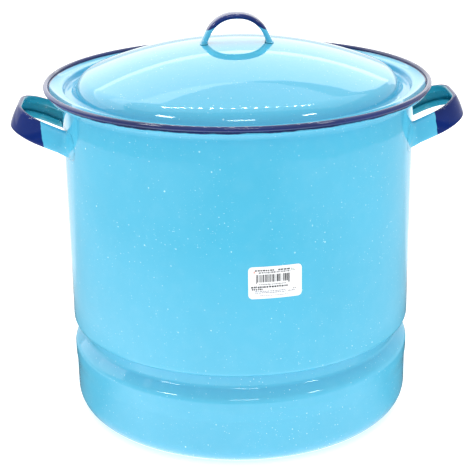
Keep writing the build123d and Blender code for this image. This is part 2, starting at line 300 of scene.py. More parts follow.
def strap_section(face_half, bend_radius, developed_half, fold, sheet):
    """Half of a strap's section: (across, out) points on the outer skin and on the inner skin.

    The strap's face is slightly crowned. Its edge turns inwards by the fold angle, and what is left
    of the developed half width runs on straight as a lip.
    """
    crown = min(math.radians(7), fold)
    bend = bend_radius * (fold - crown)
    lip = max(developed_half - face_half - bend, 0.2 * MM)
    steps = [(face_half / SEGMENTS_PER_FACE, crown / SEGMENTS_PER_FACE)] * SEGMENTS_PER_FACE
    steps += [(bend / SEGMENTS_PER_BEND, (fold - crown) / SEGMENTS_PER_BEND)] * SEGMENTS_PER_BEND
    steps += [(lip / 3, 0)] * 3
    across, out, heading = 0, 0, 0
    line = [(0, 0, 0)]
    for length, turn in steps:
        across += length * math.cos(heading + turn / 2)
        out -= length * math.sin(heading + turn / 2)
        heading += turn
        line.append((across, out, heading))
    outer = [(a + math.sin(h) * sheet / 2, o + math.cos(h) * sheet / 2) for a, o, h in line]
    inner = [(a - math.sin(h) * sheet / 2, o - math.cos(h) * sheet / 2) for a, o, h in line]
    end_a, end_o, end_h = line[-1]
    nose = (end_a + math.cos(end_h) * sheet / 2, end_o - math.sin(end_h) * sheet / 2)
    return outer, nose, inner


def strap(stations):
    """Points, faces and face slots of a strap swept through stations.

    A station is (centre, across, out, half section, edge segments). Slot 0 is the outer skin, up to that
    many segments into the rolled edge, and slot 1 is the inner skin.
    """
    points = []
    ring = 0
    for centre, across, out, (outer, nose, inner), _ in stations:
        loop = [(-a, o) for a, o in reversed(outer[1:])] + outer + [nose]
        loop += list(reversed(inner)) + [(-a, o) for a, o in inner[1:]] + [(-nose[0], nose[1])]
        ring = len(loop)
        outside = 2 * len(outer) - 1
        for a, o in loop:
            points.append(centre + across * a + out * o)
    faces = []
    slots = []
    for station in range(len(stations) - 1):
        for spot in range(ring):
            after = (spot + 1) % ring
            base, ahead = station * ring, (station + 1) * ring
            faces.append((base + spot, ahead + spot, ahead + after, base + after))
            from_middle = abs(spot + 0.5 - (outside - 1) / 2)
            edge = stations[station][4]
            slots.append(0 if from_middle < SEGMENTS_PER_FACE + edge or edge == ALL_OUTER else 1)
    for station, flip in ((0, False), (len(stations) - 1, True)):
        base = station * ring
        for spot in range(outside - 1):
            partner = 2 * outside - spot
            cap = (base + spot, base + spot + 1, base + partner - 1, base + partner)
            faces.append(tuple(reversed(cap)) if flip else cap)
            slots.append(1)
        for tip in ((ring - 1, 0, ring - 2), (outside - 1, outside, outside + 1)):
            cap = tuple(base + spot for spot in tip)
            faces.append(tuple(reversed(cap)) if flip else cap)
            slots.append(1)
    return points, faces, slots


# ---- Materials -----------------------------------------------------------------------------
class Shader:
    """Short ways to add and link nodes in one material."""

    def __init__(self, name):
        self.material = bpy.data.materials.new(name)
        self.material.use_nodes = True
        self.nodes = self.material.node_tree.nodes
        self.links = self.material.node_tree.links
        self.principled = self.nodes["Principled BSDF"]
        self.place = self.add("ShaderNodeTexCoord").outputs["Object"]

    def add(self, kind, **settings):
        """A node; settings whose names are sockets are linked or set, and the rest are its options."""
        node = self.nodes.new(kind)
        for key, value in settings.items():
            if hasattr(node, key):
                setattr(node, key, value)
        for key, value in settings.items():
            if not hasattr(node, key):
                self.feed(node.inputs[key.replace("_", " ")], value)
        return node

    def feed(self, socket, value):
        if isinstance(value, bpy.types.NodeSocket):
            self.links.new(value, socket)
        else:
            socket.default_value = value

    def maths(self, operation, *values):
        node = self.nodes.new("ShaderNodeMath")
        node.operation = operation
        for socket, value in zip(node.inputs, values):
            self.feed(socket, value)
        return node.outputs[0]

    def times(self, first, second):
        return self.maths("MULTIPLY", first, second)

    def plus(self, first, second):
        return self.maths("ADD", first, second)

    def ramp(self, value, low, high):
        """0 below low and 1 above high, or the other way round if high is the smaller."""
        node = self.nodes.new("ShaderNodeMapRange")
        node.interpolation_type = "SMOOTHSTEP"
        for socket, given in zip(node.inputs, (value, low, high)):
            self.feed(socket, given)
        return node.outputs[0]

    def spread(self, value, low, high, to_low, to_high):
        node = self.nodes.new("ShaderNodeMapRange")
        for socket, given in zip(node.inputs, (value, low, high, to_low, to_high)):
            self.feed(socket, given)
        return node.outputs[0]

    def mix(self, share, first, second):
        node = self.nodes.new("ShaderNodeMix")
        node.data_type = "RGBA"
        self.feed(node.inputs[0], share)
        self.feed(node.inputs[6], first)
        self.feed(node.inputs[7], second)
        return node.outputs[2]

    def noise(self, scale, detail=2.0, roughness=0.5, where=None):
        node = self.add("ShaderNodeTexNoise", Vector=where or self.place, Scale=scale, Detail=detail)
        node.inputs["Roughness"].default_value = roughness
        return node.outputs["Fac"]

    def stretched(self, scale):
        node = self.add("ShaderNodeMapping", Vector=self.place)
        node.inputs["Scale"].default_value = scale
        return node.outputs[0]

    def parts(self):
        """x, y, z and the distance from the upright axis."""
        split = self.add("ShaderNodeSeparateXYZ", Vector=self.place)
        x, y, z = split.outputs
        radius = self.maths("SQRT", self.plus(self.times(x, x), self.times(y, y)))
        return x, y, z, radius

    def bump(self, height, distance, strength=1.0):
        node = self.add("ShaderNodeBump", Height=height, Distance=distance, Strength=strength)
        self.links.new(node.outputs[0], self.principled.inputs["Normal"])

    def set(self, **values):
        for key, value in values.items():
            self.feed(self.principled.inputs[key.replace("_", " ")], value)


def rgba(colour, level=1.0):
    return (colour[0] * level, colour[1] * level, colour[2] * level, 1)


def speck_layer(shader, spacing, smallest, largest, share, where):
    """Round specks: one in each cell of a random pattern, kept in a share of the cells."""
    cells = shader.add("ShaderNodeTexVoronoi", Vector=where, Scale=1 / spacing)
    cells.inputs["Randomness"].default_value = 1.0
    chance = shader.add("ShaderNodeSeparateColor", Color=cells.outputs["Color"])
    size = shader.spread(chance.outputs[0], 0, 1, smallest / spacing, largest / spacing)
    round_speck = shader.ramp(shader.maths("SUBTRACT", size, cells.outputs["Distance"]), 0,
                              0.35 * smallest / spacing)
    kept = shader.maths("LESS_THAN", chance.outputs[1], share)
    depth = shader.spread(chance.outputs[2], 0, 1, 0.35, 1.0)
    return shader.times(shader.times(round_speck, kept), depth)


def enamel(name, finish, trim=None, base=None, trim_gloss=0.5):
    """Glossy speckled enamel. trim gives the mask of the dark edge from the shader, or is None."""
    shader = Shader(name)
    warp = shader.noise(60, 3)
    tone = shader.noise(9, 4, 0.55)
    fine_tone = shader.noise(75, 3, 0.6)
    base = base or finish.enamel_colour
    body = shader.mix(shader.ramp(tone, 0.30, 0.72), rgba(base, 0.975), rgba(base, 1.02))
    body = shader.mix(shader.spread(fine_tone, 0.45, 0.80, 0, 0.04), body, rgba(finish.speck_colour, 0.9))
    gap = finish.speck_spacing
    crowd = shader.ramp(shader.noise(16, 3, 0.6), 0.38, 0.66)
    fine = speck_layer(shader, gap, 0.34 * MM, 0.74 * MM, 0.50, shader.place)
    dust = speck_layer(shader, gap * 0.52, 0.20 * MM, 0.42 * MM, 0.45, shader.stretched((1.0, 1.0, 1.02)))
    large = speck_layer(shader, gap * 2.6, 0.50 * MM, 1.05 * MM, 0.40, shader.stretched((1.03, 1.0, 1.0)))
    dust = shader.times(dust, shader.spread(crowd, 0, 1, 0.15, 0.9))
    fine = shader.times(fine, shader.spread(crowd, 0, 1, 0.45, 1.0))
    specks = shader.maths("MAXIMUM", shader.maths("MAXIMUM", fine, dust), large)
    specks = shader.times(specks, 0.85)
    colour = shader.mix(specks, body, rgba(finish.speck_colour))
    if trim:
        dark_tone = shader.mix(shader.ramp(tone, 0.3, 0.7), rgba(finish.trim_colour, 0.8),
                               rgba(finish.trim_colour, 1.5))
        dark_specks = shader.times(specks, 0.22)
        dark = shader.mix(dark_specks, dark_tone, rgba(finish.speck_colour, 0.5))
        trimmed = trim(shader, warp)
        colour = shader.mix(trimmed, colour, dark)
        shader.set(Specular_IOR_Level=shader.spread(trimmed, 0, 1, 0.5, trim_gloss))
    shader.set(Base_Color=colour)
    shader.set(Roughness=shader.spread(shader.noise(22, 4, 0.65), 0.35, 0.80, 0.022, 0.07))
    shader.set(IOR=1.5)
    ripple = shader.noise(95, 2, 0.5)
    swell = shader.noise(24, 1, 0.4)
    height = shader.plus(shader.times(ripple, 0.25), swell)
    shader.bump(shader.plus(height, shader.times(specks, 0.08)), 0.10 * MM)
    return shader.material


def rim_trim(start_radius, low=None):
    """A dark edge outside a radius, with a slightly uneven border, above a height if one is given."""
    def mask(shader, warp):
        _, _, z, radius = shader.parts()
        uneven = shader.spread(warp, 0, 1, -0.9 * MM, 0.9 * MM)
        edge = shader.plus(radius, uneven)
        inside = shader.ramp(edge, start_radius - 0.25 * MM, start_radius + 0.25 * MM)
        if low is None:
            return inside
        height = shader.plus(z, shader.spread(warp, 0, 1, -1.6 * MM, 1.6 * MM))
        return shader.times(inside, shader.ramp(height, low - 0.3 * MM, low + 0.3 * MM))
    return mask


def grip_trim(start_x, slope, centre_z):
    """A dark outer half on the side handles."""
    def mask(shader, warp):
        x, _, z, _ = shader.parts()
        reach = shader.plus(shader.maths("ABSOLUTE", x), shader.spread(warp, 0, 1, -2 * MM, 2 * MM))
        reach = shader.plus(reach, shader.times(shader.maths("SUBTRACT", z, centre_z), slope))
        return shader.ramp(reach, start_x - 0.35 * MM, start_x + 0.35 * MM)
    return mask


def bail_trim(height, slope):
    """A dark top on the lid handle's arch, with borders that fan out from its middle."""
    def mask(shader, warp):
        x, _, z, _ = shader.parts()
        line = shader.plus(z, shader.times(shader.maths("ABSOLUTE", x), slope))
        line = shader.plus(line, shader.spread(warp, 0, 1, -1.5 * MM, 1.5 * MM))
        return shader.ramp(line, height - 0.35 * MM, height + 0.35 * MM)
    return mask


def paper(name):
    """Satin label stock."""
    shader = Shader(name)
    fibre = shader.noise(900, 3, 0.6)
    cloud = shader.noise(60, 2)
    colour = shader.mix(shader.ramp(cloud, 0.3, 0.7), (0.88, 0.90, 0.92, 1), (0.93, 0.94, 0.95, 1))
    shader.set(Base_Color=shader.mix(shader.spread(fibre, 0.3, 0.7, 0, 0.12), colour, (0.8, 0.82, 0.84, 1)))
    shader.set(Roughness=shader.spread(fibre, 0.3, 0.7, 0.42, 0.55))
    shader.bump(fibre, 0.02 * MM)
    return shader.material


def ink(name, colour, coverage):
    """Printed ink, a little uneven. coverage is how solid it prints."""
    shader = Shader(name)
    grain = shader.ramp(shader.noise(1600, 2, 0.7), coverage - 0.35, coverage + 0.1)
    shader.set(Base_Color=shader.mix(grain, colour, (0.55, 0.56, 0.58, 1)))
    shader.set(Roughness=shader.spread(shader.noise(700, 2), 0.3, 0.7, 0.38, 0.5))
    return shader.material


def steel_plate(name, finish):
    """Rolled and brushed steel sheet with faint water marks."""
    shader = Shader(name)
    grain = shader.noise(1.0, 3, 0.6, shader.stretched((40, 1500, 400)))
    stain = shader.noise(28, 5, 0.62)
    colour = shader.mix(shader.ramp(grain, 0.3, 0.7), rgba(finish.plate_colour, 0.88),
                        rgba(finish.plate_colour, 1.12))
    colour = shader.mix(shader.spread(stain, 0.5, 0.8, 0, 0.35), colour, (0.42, 0.42, 0.41, 1))
    shader.set(Base_Color=colour, Metallic=1.0)
    shader.set(Roughness=shader.plus(shader.spread(grain, 0.3, 0.7, 0.24, 0.38),
                                     shader.spread(stain, 0.4, 0.8, 0, 0.12)))
    shader.bump(grain, 0.02 * MM)
    return shader.material


def plated_wire(name, finish):
    """Drawn wire with bright plating, duller where it has been handled."""
    shader = Shader(name)
    wear = shader.noise(45, 4, 0.6)
    drawn = shader.noise(260, 3, 0.55)
    shader.set(Base_Color=shader.mix(shader.ramp(wear, 0.35, 0.75), rgba(finish.wire_colour, 1.08),
                                     rgba(finish.wire_colour, 0.86)), Metallic=1.0)
    shader.set(Roughness=shader.plus(shader.spread(wear, 0.3, 0.75, 0.14, 0.30),
                                     shader.spread(drawn, 0.3, 0.7, 0, 0.06)))
    shader.bump(drawn, 0.015 * MM)
    return shader.material


def weld_metal(name, finish):
    """Rougher metal where the wires are welded."""
    shader = Shader(name)
    blotch = shader.noise(420, 4, 0.6)
    shader.set(Base_Color=shader.mix(shader.ramp(blotch, 0.3, 0.7), rgba(finish.wire_colour, 0.95),
                                     rgba(finish.wire_colour, 0.62)), Metallic=1.0)
    shader.set(Roughness=shader.spread(blotch, 0.3, 0.7, 0.28, 0.5))
    shader.bump(blotch, 0.12 * MM)
    return shader.material


def floor_material(name):
    """Plain pale paper sweep."""
    shader = Shader(name)
    cloud = shader.noise(0.8, 2)
    shader.set(Base_Color=shader.mix(cloud, (0.90, 0.90, 0.90, 1), (0.92, 0.92, 0.92, 1)))
    shader.set(Roughness=0.9, Emission_Color=(1, 1, 1, 1), Emission_Strength=0.5)
    return shader.material


def glow_material(name):
    """Light from the table top, strongest in front of the pot."""
    shader = Shader(name)
    x, y, _, radius = shader.parts()
    towards_back = shader.maths("DIVIDE", y, radius)
    near = shader.spread(radius, 0.30, 0.80, 2.5, 0)
    near = shader.times(near, shader.spread(towards_back, -0.5, 0.4, 1, 0.2))
    near = shader.times(near, shader.spread(x, -0.30, 0.50, 1, 0.45))
    away = shader.spread(radius, 0.26, 0.40, 0, 1)
    beside = shader.maths("MAXIMUM", shader.spread(y, -0.16, -0.06, 1, 0.15), away)
    near = shader.times(near, beside)
    aside = shader.spread(shader.maths("ABSOLUTE", x), 0.25, 0.7, 0.15, 0.9)
    wide = shader.times(aside, shader.spread(radius, 0.26, 0.40, 0.2, 1))
    front = shader.plus(near, wide)
    back = shader.spread(towards_back, 0.60, 0.68, 0, 1)
    strip = shader.spread(radius, 0.32, 0.50, 0.25, 1.15)
    level = shader.plus(shader.times(front, shader.maths("SUBTRACT", 1, back)), shader.times(back, strip))
    shader.set(Base_Color=(0, 0, 0, 1), Specular_IOR_Level=0.0)
    shader.set(Emission_Color=(1, 1, 1, 1), Emission_Strength=level)
    return shader.material


def clothe(node_name, material):
    """Give a CAD node its material."""
    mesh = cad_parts[node_name].data
    mesh.materials.clear()
    mesh.materials.append(material)


# ---- Pieces --------------------------------------------------------------------------------
REST_GAP = 0.3 * MM         # between the lid's brim and the pot's rim
LID_PLAY = 1.2 * MM         # between the lid's step and the pot's bore
SHOULDER_SWEEP = math.radians(75)
DOME_FOOT_BEND = 5.0 * MM


def dome_shape(lid, pot):
    """Where the lid's crown, shoulder and channel meet, worked out from its sizes."""
    brim = POT_TOP + REST_GAP + lid.sheet
    step_foot = pot.wall_radius - pot.sheet - LID_PLAY - lid.sheet
    foot = step_foot - lid.channel_width
    shoulder = lid.shoulder_radius
    bend_height = DOME_FOOT_BEND * math.tan(SHOULDER_SWEEP / 2)
    centre_r = foot - bend_height / math.tan(SHOULDER_SWEEP) - shoulder * math.sin(SHOULDER_SWEEP)
    centre_z = brim - lid.channel_depth + bend_height - shoulder * math.cos(SHOULDER_SWEEP)
    height = DOME_TOP - centre_z
    crown = (centre_r**2 + height**2 - shoulder**2) / (2 * (height - shoulder))
    return SimpleNamespace(brim=brim, step_foot=step_foot, foot=foot, shoulder_centre=(centre_r, centre_z),
                           crown=crown, crown_angle=math.asin(centre_r / (crown - shoulder)))


class CANNER_OT_pot_shell(bpy.types.Operator):
    """Make the pot's shell: curled rim, straight wall, ledge, swage and pressed base"""

    bl_idname = "canner.pot_shell"
    bl_label = "Pot Shell"

    def execute(self, context):
        scene = context.scene
        size = scene.canner_pot
        wall = size.wall_radius
        ledge = size.ledge_height
        lower_wall = wall - 1.0 * MM
        lower_wall_top = ledge - 47.6 * MM
        swage_foot = ledge - 36.6 * MM
        groove_foot = ledge - 24.6 * MM
        groove_floor = ledge - 14.5 * MM
        groove_wall = wall - size.ledge_depth
        bead = 2.5 * MM
        bead_centre = (POT_RIM_R - bead, POT_TOP - bead)
        flange = bead_centre[1] - size.sheet / 2
        panel = 120 * MM
        panel_rise = 1.5 * MM
        panel_slope = 5 * MM
        corners = [
            ((0, 0, panel_rise), 0),
            ((panel, 0, panel_rise), 5 * MM),
            ((panel + panel_slope, 0, 0), 5 * MM),
            ((lower_wall, 0, 0), 22 * MM),
            ((lower_wall, 0, lower_wall_top), 40 * MM),
            ((wall, 0, swage_foot), 40 * MM),
            ((wall, 0, groove_foot), 8 * MM),
            ((groove_wall, 0, groove_floor), 5 * MM),
            ((groove_wall, 0, ledge), 2.5 * MM),
            ((wall, 0, ledge), 5.5 * MM),
            ((wall, 0, flange), 10 * MM),
            ((bead_centre[0], 0, flange), 0),
        ]
        outside = bent_path(corners)
        inside = offset_profile(outside, size.sheet)
        rolled = profile_arc(bead_centre, bead, -math.pi / 2 - 0.5, math.pi + 0.15, 22)
        profile = outside[:-1] + rolled + list(reversed(inside[:-1]))
        points, faces = lathe(profile)
        trim = rim_trim(POT_RIM_R - 5.6 * MM, POT_TOP - 2.4 * MM)
        material = enamel("pot_enamel", scene.canner_finish, trim)
        new_piece("enamelled_pot", points, faces, [material], "pot", ["pot_shell"])
        return {"FINISHED"}


class CANNER_OT_lid_shell(bpy.types.Operator):
    """Make the lid's shell: crowned dome, rounded shoulder, channel, step, brim and rolled edge"""

    bl_idname = "canner.lid_shell"
    bl_label = "Lid Shell"

    def execute(self, context):
        scene = context.scene
        size = scene.canner_lid
        dome = dome_shape(size, scene.canner_pot)
        bead = 2.6 * MM
        bead_lift = 1.0 * MM
        bead_centre = (LID_EDGE_R - bead, dome.brim + bead_lift)
        channel = dome.brim - size.channel_depth
        channel_bend = 2.5 * MM
        step_slope = 1.6 * MM
        up = math.pi / 2
        slant = up - dome.crown_angle
        top = profile_arc((0, DOME_TOP - dome.crown), dome.crown, up, slant, 48)
        top += profile_arc(dome.shoulder_centre, size.shoulder_radius, slant, up - SHOULDER_SWEEP, 16)[1:]
        top += bent_path([
            (top[-1], 0),
            ((dome.foot, 0, channel), DOME_FOOT_BEND * 0.97),
            ((dome.step_foot, 0, channel), channel_bend),
            ((dome.step_foot + step_slope, 0, dome.brim), channel_bend),
            ((bead_centre[0], 0, dome.brim), 0),
        ], hold=0.12 * MM)[2:]
        under = offset_profile(top, -size.sheet)
        rolled = profile_arc(bead_centre, bead, math.pi + 0.30, -math.pi / 2 - 0.62, 24)
        profile = top[:-1] + rolled + list(reversed(under[:-1]))
        points, faces = lathe(profile)
        faces = [tuple(reversed(face)) for face in faces]
        material = enamel("lid_enamel", scene.canner_finish, rim_trim(LID_EDGE_R - 6.2 * MM))
        new_piece("enamelled_lid", points, faces, [material], "lid", ["lid_shell"])
        return {"FINISHED"}


class CANNER_OT_side_handles(bpy.types.Operator):
    """Make the two loop handles: a strap with turned-in lips whose feet spread flat on the wall"""

    bl_idname = "canner.side_handles"
    bl_label = "Side Handles"

    def stations(self, size):
        """Stations of the +X handle's strap from its +Y foot to its -Y foot."""
        sheet = 1.4 * MM
        wall = size.wall_radius
        root_z = POT_TOP - size.grip_drop
        rise = math.tan(size.grip_tilt)
        half = size.grip_span / 2 - sheet / 2
        skin = wall + sheet / 2 + 0.05 * MM
        tip = wall + size.grip_reach - sheet / 2
        tab_angle = math.radians(23.4)
        foot_bend = 8.5 * MM
        loop_bend = 34.5 * MM
        spacing = 1.3 * MM
        leg_x = math.sqrt(skin**2 - half**2)

        def on_plane(x, y):
            return (x, y, root_z + (x - wall) * rise)

        sunk = skin - sheet * 0.9
        tab_end = (sunk * math.cos(tab_angle), sunk * math.sin(tab_angle), root_z - 1.0 * MM)
        tab_start = (tab_end[0], -tab_end[1], tab_end[2])
        route = bent_path([
            (tab_end, 0),
            (on_plane(leg_x, half), foot_bend),
            (on_plane(tip, half), loop_bend),
            (on_plane(tip, -half), loop_bend),
            (on_plane(leg_x, -half), foot_bend),
            (tab_start, 0),
        ], per_bend=24)
        route = even_points(route, spacing)
        level = Vector((0, 0, 1))
        loop_normal = Vector((-math.sin(size.grip_tilt), 0, math.cos(size.grip_tilt)))
        foot_fold = math.radians(12)
        foot_half = 12.8 * MM       # half of the strip's flat width at the foot
        lip_extra = 6.4 * MM        # what the rolled lips add to it
        edge_bend = 2.0 * MM
        full = len(route) - 1
        result = []
        for index, centre in enumerate(route):
            along = (route[min(index + 1, full)] - route[max(index - 1, 0)]).normalized()
            from_wall = math.hypot(centre.x, centre.y) - skin
            leaving = smooth_step(from_wall / (20 * MM))
            across = level.lerp(loop_normal, leaving).normalized()
            out = across.cross(along).normalized()
            across = along.cross(out)
            rolled = smooth_step((from_wall - 0.5 * MM) / (11 * MM))
            fold = foot_fold + (math.pi - foot_fold) * rolled
            developed = foot_half + lip_extra * smooth_step((rolled - 0.25) / 0.6)
            developed -= corner_cut(min(index, full - index) * spacing, 9.0 * MM)
            face_half = min(size.grip_width / 2 - 2.7 * MM, developed * 0.8)
            half_section = strap_section(face_half, edge_bend, developed, fold, sheet)
            result.append((centre, across, out, half_section, 6 if rolled > 0.7 else ALL_OUTER))
        return result

    def execute(self, context):
        scene = context.scene
        size = scene.canner_pot
        finish = scene.canner_finish
        trim_height = POT_TOP - size.grip_drop + 10 * MM
        # The straps' inner skin gets the darker teal: painted shade inside the loop.
        inside = enamel("grip_shaded_inside_enamel", finish, base=finish.shaded_inside_colour)
        trim_start = 195 * MM
        nearest = size.wall_radius + 0.04 * MM
        points, faces, slots = strap(self.stations(size))
        for point in points:
            reach = math.hypot(point.x, point.y)
            if reach < nearest:
                point.x *= nearest / reach
                point.y *= nearest / reach
        for side, hand, slope in ((1, "right", 0.17), (-1, "left", -0.08)):
            trim = grip_trim(trim_start, slope, trim_height)
            outside = enamel(hand + "_grip_enamel", finish, trim, trim_gloss=0.2)
            turned = [Vector((p.x * side, p.y * side, p.z)) for p in points]
            new_piece(hand + "_loop_handle", turned, faces, [outside, inside], "pot",
                      [hand + "_side_handle"], slots)
        return {"FINISHED"}


class CANNER_OT_lid_handle(bpy.types.Operator):
    """Make the lid's arched handle: a strap with turned-in lips and feet that spread on the dome"""

    bl_idname = "canner.lid_handle"
    bl_label = "Lid Handle"

    def execute(self, context):
        scene = context.scene
        size = scene.canner_lid
        sheet = 1.3 * MM
        crown = dome_shape(size, scene.canner_pot).crown
        half = size.bail_span / 2 - sheet / 2
        top = BAIL_TOP - sheet / 2 - 0.1 * MM
        centre_z = DOME_TOP - crown

        def on_dome(x):
            return (x, 0, centre_z + math.sqrt((crown + sheet / 2) ** 2 - x**2))

        splay = 14 * MM
        foot_x = half + 1.1 * MM
        foot_bend = 1.0 * MM
        arch_bend = 31.3 * MM
        route = bent_path([
            (on_dome(-foot_x), 0),
            (on_dome(-half), foot_bend),
            ((-half + splay, 0, top), arch_bend),
            ((half - splay, 0, top), arch_bend),
            (on_dome(half), foot_bend),
            (on_dome(foot_x), 0),
        ], per_bend=24, hold=0.2 * MM)
        spacing = 1.0 * MM
        route = even_points(route, spacing)
        full = len(route) - 1
        across = Vector((0, -1, 0))
        foot_fold = math.radians(20)
        foot_half = 10.4 * MM       # half of the strip's flat width at the foot
        lip_extra = 4.8 * MM        # what the rolled lips add to it
        edge_bend = 1.9 * MM
        stations = []
        for index, centre in enumerate(route):
            along = (route[min(index + 1, full)] - route[max(index - 1, 0)]).normalized()
            out = across.cross(along).normalized()
            height = centre.z - on_dome(centre.x)[2]
            leaving = smooth_step(height / (5 * MM))
            fold = foot_fold + (math.pi - foot_fold) * leaving
            developed = foot_half + lip_extra * leaving
            developed -= corner_cut(min(index, full - index) * spacing, 5.0 * MM)
            face_half = min(6.9 * MM, developed * 0.75)
            half_section = strap_section(face_half, edge_bend, developed, fold, sheet)
            stations.append((centre, across, out, half_section, SEGMENTS_PER_BEND + 3))
        points, faces, slots = strap(stations)
        middle = Vector((0, 0, centre_z))
        lowest = crown + 0.03 * MM
        for point in points:
            arm = point - middle
            if arm.length < lowest:
                point.xyz = middle + arm.normalized() * lowest
        finish = scene.canner_finish
        outside = enamel("bail_enamel", finish, bail_trim(BAIL_TOP - 4.6 * MM, 0.40), trim_gloss=0.35)
        # The arch's inner skin gets the darker teal: painted shade under the strap.
        inside = enamel("bail_shaded_inside_enamel", finish, base=finish.shaded_inside_colour)
        new_piece("arched_lid_handle", points, faces, [outside, inside], "lid",
                  ["lid_handle"], slots)
        return {"FINISHED"}


class CANNER_OT_label(bpy.types.Operator):
    """Clothe the paper label and print generic bars and dashes on it"""

    bl_idname = "canner.label"
    bl_label = "Paper Label"

    # Rows of dashes: (from top, height, from left, to right, shortest and longest dash, ink), as shares.
    ROWS = (
        (0.095, 0.045, 0.12, 0.47, 0.025, 0.055, 0),
        (0.095, 0.045, 0.55, 0.77, 0.030, 0.070, 0),
        (0.160, 0.050, 0.19, 0.77, 0.012, 0.040, 1),
        (0.535, 0.040, 0.20, 0.69, 0.010, 0.022, 1),
        (0.605, 0.055, 0.05, 0.73, 0.016, 0.042, 0),
        (0.680, 0.050, 0.06, 0.25, 0.014, 0.036, 0),
        (0.750, 0.030, 0.12, 0.68, 0.010, 0.050, 2),
        (0.800, 0.030, 0.12, 0.68, 0.010, 0.050, 2),
        (0.720, 0.035, 0.83, 0.90, 0.015, 0.030, 1),
        (0.785, 0.035, 0.74, 0.85, 0.012, 0.030, 1),
        (0.895, 0.022, 0.20, 0.72, 0.008, 0.030, 2),
    )

    def execute(self, context):
        clothe("paper_label", paper("label_paper"))
        inks = [
            ink("label_black", (0.015, 0.016, 0.02, 1), 0.82),
            ink("label_grey", (0.06, 0.065, 0.075, 1), 0.68),
            ink("label_blue_grey", (0.24, 0.27, 0.36, 1), 0.66),
            ink("label_orange", (0.75, 0.16, 0.05, 1), 0.75),
            ink("label_green", (0.10, 0.28, 0.20, 1), 0.70),
        ]
        wall = context.scene.canner_pot.wall_radius
        middle = (LABEL_LOW + LABEL_HIGH) / 2
        turn = math.atan2(middle.x, -middle.y)
        high = LABEL_HIGH.z - LABEL_LOW.z
        wide = 50.8 * MM
        skin = wall + 0.2 * MM
        print_depths = (-0.03 * MM, 0.025 * MM)
        points, faces, slots = [], [], []

        def bar(left, right, top, bottom, which):
            """One thin printed bar; sizes are shares of the label."""
            start = len(points)
            for depth in print_depths:
                radius = skin + depth
                for share in (left, right):
                    angle = turn + (share - 0.5) * wide / wall
                    for level in (top, bottom):
                        points.append(Vector((radius * math.sin(angle), -radius * math.cos(angle),
                                              LABEL_HIGH.z - level * high)))
            for face in ((4, 5, 7, 6), (0, 2, 3, 1), (0, 1, 5, 4), (2, 6, 7, 3), (0, 4, 6, 2), (1, 3, 7, 5)):
                faces.append(tuple(start + corner for corner in face))
                slots.append(which)

        dice = random.Random(11)
        for top, tall, left, right, shortest, longest, which in self.ROWS:
            at = left
            while at < right:
                run = dice.uniform(shortest, longest)
                lift = dice.uniform(-0.004, 0.004)
                bar(at, min(at + run, right + 0.01), top + lift, top + tall + lift, which)
                at += run + dice.uniform(0.006, 0.014)
        at, bars_end = 0.14, 0.77
        first_end, last_start = 0.16, 0.74
        bars_top, bars_foot, longer_foot = 0.245, 0.485, 0.53
        while at < bars_end:
            run = dice.choice((0.006, 0.010, 0.014, 0.020, 0.026))
            longer = at < first_end or at > last_start
            bar(at, at + run, bars_top, longer_foot if longer else bars_foot, 0)
            at += run + dice.choice((0.006, 0.008, 0.012, 0.018))
        for spot in range(3):
            bar(0.095 + spot * 0.012, 0.104 + spot * 0.012, 0.155 - spot * 0.012, 0.195, 3)
            bar(0.80 + spot * 0.027, 0.815 + spot * 0.027, 0.10 + spot * 0.03, 0.17 + spot * 0.008, 4)
        new_piece("label_print", points, faces, inks, "pot", face_slots=slots)
        return {"FINISHED"}


class CANNER_OT_plate(bpy.types.Operator):
    """Clothe the perforated plate and its wire rim"""

    bl_idname = "canner.plate"
    bl_label = "Perforated Plate"

    def execute(self, context):
        finish = context.scene.canner_finish
        clothe("perforated_plate", steel_plate("plate_steel", finish))
        clothe("plate_rim_wire", steel_plate("plate_rim_steel", finish))
        return {"FINISHED"}


class CANNER_OT_rack(bpy.types.Operator):
    """Clothe the jar rack's wires and lifting handles, and add a weld at each crossing"""

    bl_idname = "canner.rack"
    bl_label = "Jar Rack"

    def execute(self, context):
        finish = context.scene.canner_finish
        wire = plated_wire("rack_wire", finish)
        for name in RACK_NODES + LIFT_NODES:
            clothe(name, wire)
        bent = 1.75 * MM
        ring = 2.0 * MM
        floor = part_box("rack_divider_wire_1")[0].z + bent
        spots = []
        for name in RACK_NODES:
            if not name.endswith("_ring"):
                continue
            low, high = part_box(name)
            radius = high.x - ring
            level = (low.z + high.z) / 2
            if "guard" in name:
                spots.append((radius - ring, level))
            elif "floor" in name:
                spots.append((radius, floor + bent))
            else:
                spots.append((radius + ring, level))
        points, faces = [], []
        turns, rows = 12, 6
        weld_half = 2.1 * MM        # each weld is a slightly lumpy bead
        weld_rise = 1.7 * MM
        for radius, level in spots:
            for bay in range(6):
                angle = math.radians(60 * bay)
                centre = Vector((radius * math.cos(angle), radius * math.sin(angle), level))
                start = len(points)
                points.append(centre + Vector((0, 0, weld_rise)))
                for row in range(1, rows):
                    tip = math.pi * row / rows
                    for step in range(turns):
                        around = 2 * math.pi * step / turns
                        lump = 1 + 0.09 * math.sin(3 * around + bay + level * 900)
                        reach = weld_half * lump * math.sin(tip)
                        points.append(centre + Vector((reach * math.cos(around), reach * math.sin(around),
                                                       weld_rise * math.cos(tip))))
                points.append(centre - Vector((0, 0, weld_rise)))
                last = len(points) - 1
                for step in range(turns):
                    after = (step + 1) % turns
                    faces.append((start, start + 1 + step, start + 1 + after))
                    for row in range(rows - 2):
                        base = start + 1 + row * turns
                        faces.append((base + step, base + turns + step, base + turns + after, base + after))
                    base = start + 1 + (rows - 2) * turns
                    faces.append((base + step, last, base + after))
        new_piece("rack_welds", points, faces, [weld_metal("weld_metal", finish)], "rack")
        return {"FINISHED"}


